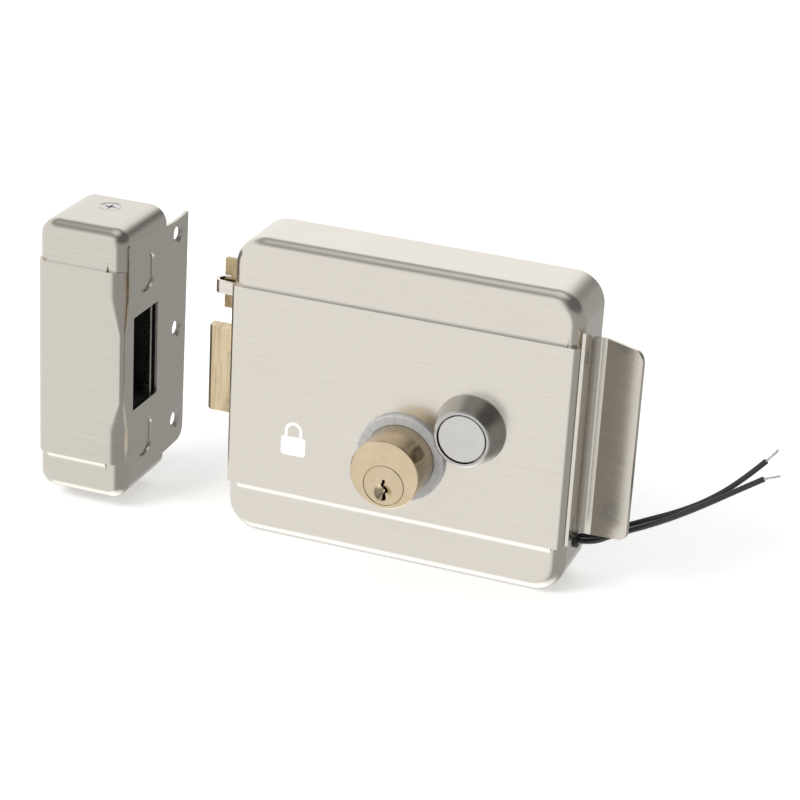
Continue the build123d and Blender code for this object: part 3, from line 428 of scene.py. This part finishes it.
routes = {
    "rear": [(0.0610, -0.0087, -0.0385), (0.0685, -0.0087, -0.0385), (0.0765, -0.0087, -0.0329),
             (0.0860, -0.0087, -0.0279), (0.0965, -0.0086, -0.0226), (0.1070, -0.0086, -0.0159),
             (0.1174, -0.0087, -0.0066), (0.1254, -0.0088, 0.0030)],
    "front": [(0.0610, -0.0111, -0.0395), (0.0685, -0.0111, -0.0395), (0.0770, -0.0111, -0.0340),
              (0.0870, -0.0111, -0.0289), (0.0970, -0.0112, -0.0230), (0.1075, -0.0112, -0.0158),
              (0.1170, -0.0112, -0.0088), (0.1258, -0.0112, -0.0025)],
}
tips = {"rear": (0.1292, -0.0088, 0.0080), "front": (0.1314, -0.0112, -0.0002)}


def round_curve(name, radius, bevel_steps, steps):
    """A curve with a round section and closed ends, as yet without any runs."""
    curve = bpy.data.curves.new(name, "CURVE")
    curve.dimensions = "3D"
    curve.bevel_depth = radius
    curve.bevel_resolution = bevel_steps
    curve.resolution_u = steps
    curve.use_fill_caps = True
    return curve


def add_run(curve, places):
    """A smooth run that starts at the first place and ends at the last."""
    spline = curve.splines.new("NURBS")
    spline.points.add(len(places) - 1)
    for point, place in zip(spline.points, places):
        point.co = (*place, 1)
    spline.order_u = 3
    spline.use_endpoint_u = True


def strand_bundle(name, start, end):
    """Thin tinned strands, six twisted round one in the middle, a little splayed at the tip."""
    start, end = Vector(start), Vector(end)
    along = (end - start).normalized()
    side = along.cross(Vector((0, 1, 0))).normalized()
    other = along.cross(side)
    span = (end - start).length
    curve = round_curve(name, STRAND_R, bevel_steps=3, steps=6)
    for i in range(STRANDS_ROUND + 1):
        offset = 0.0 if i == STRANDS_ROUND else 2.0 * STRAND_R
        # the strands end at five slightly different lengths
        reach = span * (1.0 - STRAND_SHORTFALL * ((i * 3) % 5))
        places = []
        for k in range(STRAND_POINTS):
            t = k / (STRAND_POINTS - 1)
            turn = 2 * math.pi * (i / STRANDS_ROUND + STRAND_TWIST * t)
            spread = offset * (1.0 + STRAND_SPLAY * t * t)
            out = side * (spread * math.cos(turn)) + other * (spread * math.sin(turn))
            places.append(start + along * (reach * t) + out)
        add_run(curve, places)
    return curve


for which, route in routes.items():
    curve = round_curve(f"lead_{which}", WIRE_R, bevel_steps=6, steps=12)
    add_run(curve, route)
    lead = add_piece(f"lead_{which}", curve, pvc)
    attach(lead, "lock_case")
    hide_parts(f"wire_{which}")
    strands = add_piece(f"strands_{which}", strand_bundle(f"strands_{which}", route[-1], tips[which]), tin)
    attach(strands, "lock_case")
    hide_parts("wire_cores")

# ---------------------------------------------------------------- pictogram: a plain padlock
MARK_X, MARK_Z = -0.0374, -0.0182
SHACKLE_RISE = 0.0058
PANEL_Y = -0.0268
INK_PROUD = 0.00004
INK_SUNK = 0.00002
CORNER_STEPS = 6
ARCH_STEPS = 16


def arc(cx, cz, r, start, sweep, steps):
    """Points along an arc, whose two angles are in degrees."""
    angles = [math.radians(start + sweep * k / steps) for k in range(steps + 1)]
    return [(cx + r * math.cos(a), cz + r * math.sin(a)) for a in angles]


def round_rect(cx, cz, w, h, r):
    points = []
    for sx, sz, start in ((1, 1, 0), (-1, 1, 90), (-1, -1, 180), (1, -1, 270)):
        points += arc(cx + sx * (w / 2 - r), cz + sz * (h / 2 - r), r, start, 90, CORNER_STEPS)
    return points


def shackle(cx, cz, r_out, r_in, leg):
    """An arch with two straight legs, traced up its outside and back along its inside."""
    return [(cx + r_out, cz - leg), *arc(cx, cz, r_out, 0, 180, ARCH_STEPS), (cx - r_out, cz - leg),
            (cx - r_in, cz - leg), *arc(cx, cz, r_in, 180, -180, ARCH_STEPS), (cx + r_in, cz - leg)]


def patch(points):
    """A thin printed patch, standing a hair off the panel."""
    verts = [(x, y, z) for y in (PANEL_Y - INK_PROUD, PANEL_Y + INK_SUNK) for x, z in points]
    n = len(points)
    faces = [tuple(range(n)), tuple(range(2 * n - 1, n - 1, -1))]
    faces += [(i, n + i, n + (i + 1) % n, (i + 1) % n) for i in range(n)]
    return verts, faces


verts, faces = [], []
for points in (round_rect(MARK_X, MARK_Z, w=0.0092, h=0.0072, r=0.0012),
               shackle(MARK_X, MARK_Z + SHACKLE_RISE, r_out=0.0033, r_in=0.0022, leg=0.0020)):
    patch_verts, patch_faces = patch(points)
    base = len(verts)
    verts += patch_verts
    faces += [tuple(base + i for i in face) for face in patch_faces]
mark_mesh = bpy.data.meshes.new("padlock_mark")
mark_mesh.from_pydata(verts, [], faces)
mark = add_piece("padlock_mark", mark_mesh, ink)
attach(mark, "lock_case")

# ---------------------------------------------------------------- floor
FLOOR_HALF = 4.0
FLOOR_GAP = 0.0001
FLOOR_GLOW = 0.30
WARM_WHITE = (1, 0.995, 0.985, 1)

floor_mat = Mat("floor_pale", Roughness=0.7, Specular_IOR_Level=0.2)
paper = floor_mat.noise(floor_mat.mapped((PAPER,) * 3), detail=4.0)
floor_mat.colour(floor_mat.ramp(paper, [(0.3, (0.86, 0.86, 0.855)), (0.7, (0.88, 0.88, 0.875))]))
floor_mat.bsdf.inputs["Emission Color"].default_value = WARM_WHITE
floor_mat.bsdf.inputs["Emission Strength"].default_value = FLOOR_GLOW
floor_z = size_before[0][2] - FLOOR_GAP
floor_corners = [(FLOOR_HALF * x, FLOOR_HALF * y, floor_z) for x, y in ((-1, -1), (1, -1), (1, 1), (-1, 1))]
floor_mesh = bpy.data.meshes.new("floor")
floor_mesh.from_pydata(floor_corners, [], [(0, 1, 2, 3)])
floor_mesh.materials.append(floor_mat.mat)
floor = bpy.data.objects.new("floor", floor_mesh)
scene.collection.objects.link(floor)
floor.visible_glossy = False

# ---------------------------------------------------------------- the room that the metal mirrors
# bright low and at the left, dark overhead and at the right
ROOM_LEVEL = 0.43
GLOW_LEVEL = 0.62

world = bpy.data.worlds.new("studio")
scene.world = world
world.use_nodes = True
tree = world.node_tree
background = tree.nodes["Background"]
direction = tree.nodes.new("ShaderNodeTexCoord")
parts = tree.nodes.new("ShaderNodeSeparateXYZ")
tree.links.new(direction.outputs["Generated"], parts.inputs[0])


def falloff(axis, start, end, before, after):
    """Brightness along one axis of the view direction: before the start, easing to after the end."""
    n = tree.nodes.new("ShaderNodeMapRange")
    n.interpolation_type = "SMOOTHSTEP"
    for key, value in (("From Min", start), ("From Max", end), ("To Min", before), ("To Max", after)):
        n.inputs[key].default_value = value
    tree.links.new(parts.outputs[axis], n.inputs["Value"])
    return n.outputs["Result"]


def combine(op, a, b):
    n = tree.nodes.new("ShaderNodeMath")
    n.operation = op
    for socket, value in zip(n.inputs, (a, b)):
        if isinstance(value, (int, float)):
            socket.default_value = value
        else:
            tree.links.new(value, socket)
    return n.outputs[0]


left_side = falloff("X", -0.12, 0.30, 1.0, 0.0)
not_above = falloff("Z", 0.52, 0.80, 1.0, 0.0)
zenith = falloff("Z", 0.86, 0.98, 0.0, 0.45)
underneath = falloff("Z", -0.97, -0.76, 0.95, 0.0)
behind = combine("MULTIPLY", falloff("Y", 0.30, 0.90, 0.0, 0.10), falloff("Z", -0.10, 0.25, 0.0, 1.0))
low_behind = combine("MULTIPLY", falloff("Y", 0.30, 0.80, 0.0, 0.65), falloff("Z", -0.60, -0.25, 1.0, 0.0))
glow = combine("MULTIPLY", left_side, combine("MULTIPLY", not_above, combine("ADD", GLOW_LEVEL, behind)))
glow = combine("MULTIPLY", glow, combine("SUBTRACT", 1.0, low_behind))
upper_right = combine("MULTIPLY", falloff("X", 0.05, 0.45, 0.0, 0.65), falloff("Z", 0.10, 0.45, 0.0, 1.0))
rest_of_room = combine("MULTIPLY", ROOM_LEVEL, combine("SUBTRACT", 1.0, upper_right))
total = combine("ADD", combine("ADD", rest_of_room, glow), combine("ADD", underneath, zenith))
tree.links.new(total, background.inputs["Strength"])
background.inputs["Color"].default_value = WARM_WHITE


# ---------------------------------------------------------------- lamps
def softbox(name, place, target, width, height, power, tint=(1, 1, 1)):
    """A rectangular lamp that lights the object but isn't mirrored in it."""
    data = bpy.data.lights.new(name, "AREA")
    data.shape = "RECTANGLE"
    data.size = width
    data.size_y = height
    data.energy = power
    data.color = tint
    obj = bpy.data.objects.new(name, data)
    obj.location = place
    obj.rotation_euler = (Vector(target) - Vector(place)).to_track_quat("-Z", "Y").to_euler()
    obj.visible_glossy = False
    scene.collection.objects.link(obj)


softbox("key", (-0.9, -1.0, 1.1), (0, 0, 0), width=0.9, height=0.7, power=16, tint=(1, 0.985, 0.96))
softbox("fill", (1.3, -0.7, 0.7), (0.02, 0, 0), width=0.6, height=0.8, power=6)
softbox("rear", (0.2, 1.2, 1.0), (0, 0, 0), width=1.2, height=0.5, power=6)
